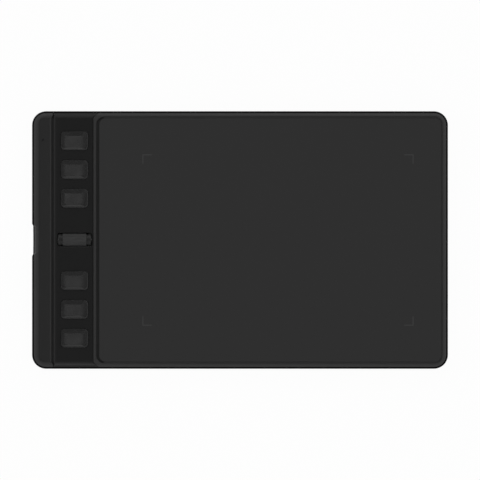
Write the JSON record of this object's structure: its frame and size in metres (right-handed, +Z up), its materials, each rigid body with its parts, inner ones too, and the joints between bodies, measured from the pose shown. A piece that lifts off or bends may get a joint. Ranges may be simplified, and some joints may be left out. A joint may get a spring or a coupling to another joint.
{
  "type": "graphics tablet",
  "caption": "Slim pen tablet with a textured drawing surface, a column of push keys round a scroll roller and a data socket in its left edge.",
  "frame": {"origin": "centre of the footprint on the table, under the feet", "axes": "+X along the long side, from the keys to the far end; +Y away from the user; +Z up"},
  "size_m": [0.2442, 0.1512, 0.0093],
  "materials": {
    "casing_plastic": "fine matte grain, near black",
    "base_plastic": "fine matte grain, near black",
    "band_plastic": "smooth satin, near black",
    "strip_plastic": "satin, black",
    "film": "finely textured matte sheet, dark grey",
    "adhesive": "thin clear bonding sheet",
    "key_plastic": "satin, dark grey",
    "roller_rubber": "ribbed matte rubber, dark grey",
    "roller_plastic": "satin, dark grey",
    "magnet": "sintered, dark",
    "steel": "plated, bright",
    "bush_plastic": "natural, dark",
    "board": "solder mask, green",
    "chip": "moulded, black",
    "tin": "tinned, satin",
    "lamp": "clear lens over a lamp chip",
    "light_guide": "smoked clear pin",
    "connector": "moulded, ivory",
    "ribbon": "thin amber film",
    "foot_rubber": "matte, black"
  },
  "bodies": {
    "casing": {"axle_bush_left": "bush_plastic", "axle_bush_right": "bush_plastic", "board_connector": "connector", "board_screws": "steel", "bottom_cover": "base_plastic", "case_screws": "steel", "clock_crystal": "tin", "controller_chip": "chip", "cradle_screws": "steel", "drawing_film": "film", "film_adhesive": "adhesive", "hall_sensor": "chip", "key_strip": "strip_plastic", "left_band": "band_plastic", "main_board": "board", "roller_cradle": "bush_plastic", "rubber_foot_1": "foot_rubber", "rubber_foot_2": "foot_rubber", "rubber_foot_3": "foot_rubber", "rubber_foot_4": "foot_rubber", "sensor_board": "board", "sensor_connector": "connector", "sensor_flat_cable": "ribbon", "shield_plate": "tin", "signal_chip": "chip", "status_led": "lamp", "status_light_guide": "light_guide", "switch_body_1": "chip", "switch_body_2": "chip", "switch_body_3": "chip", "switch_body_4": "chip", "switch_body_5": "chip", "switch_body_6": "chip", "top_cover": "casing_plastic", "usb_socket_shell": "tin", "usb_socket_tongue": "chip"},
    "push_key_1": {"key_1": "key_plastic", "switch_plunger_1": "bush_plastic"},
    "push_key_2": {"key_2": "key_plastic", "switch_plunger_2": "bush_plastic"},
    "push_key_3": {"key_3": "key_plastic", "switch_plunger_3": "bush_plastic"},
    "push_key_4": {"key_4": "key_plastic", "switch_plunger_4": "bush_plastic"},
    "push_key_5": {"key_5": "key_plastic", "switch_plunger_5": "bush_plastic"},
    "push_key_6": {"key_6": "key_plastic", "switch_plunger_6": "bush_plastic"},
    "roller": {"roller_tyre": "roller_rubber", "roller_core": "roller_plastic", "encoder_magnet": "magnet", "roller_axle": "steel"}
  },
  "joints": [
    {"name": "key_1_press", "type": "slide", "parent": "casing", "child": "push_key_1", "axis": [0, 0, -1], "range_m": [0, 0.0005], "stiffness_N_per_m": 1200, "springref_m": -0.0006},
    {"name": "key_2_press", "type": "slide", "parent": "casing", "child": "push_key_2", "axis": [0, 0, -1], "range_m": [0, 0.0005], "stiffness_N_per_m": 1200, "springref_m": -0.0006},
    {"name": "key_3_press", "type": "slide", "parent": "casing", "child": "push_key_3", "axis": [0, 0, -1], "range_m": [0, 0.0005], "stiffness_N_per_m": 1200, "springref_m": -0.0006},
    {"name": "key_4_press", "type": "slide", "parent": "casing", "child": "push_key_4", "axis": [0, 0, -1], "range_m": [0, 0.0005], "stiffness_N_per_m": 1200, "springref_m": -0.0006},
    {"name": "key_5_press", "type": "slide", "parent": "casing", "child": "push_key_5", "axis": [0, 0, -1], "range_m": [0, 0.0005], "stiffness_N_per_m": 1200, "springref_m": -0.0006},
    {"name": "key_6_press", "type": "slide", "parent": "casing", "child": "push_key_6", "axis": [0, 0, -1], "range_m": [0, 0.0005], "stiffness_N_per_m": 1200, "springref_m": -0.0006},
    {"name": "roller_spin", "type": "hinge", "parent": "casing", "child": "roller", "pos_m": [-0.09715, 0.0002, 0.00555], "axis": [1, 0, 0], "continuous": true}
  ]
}
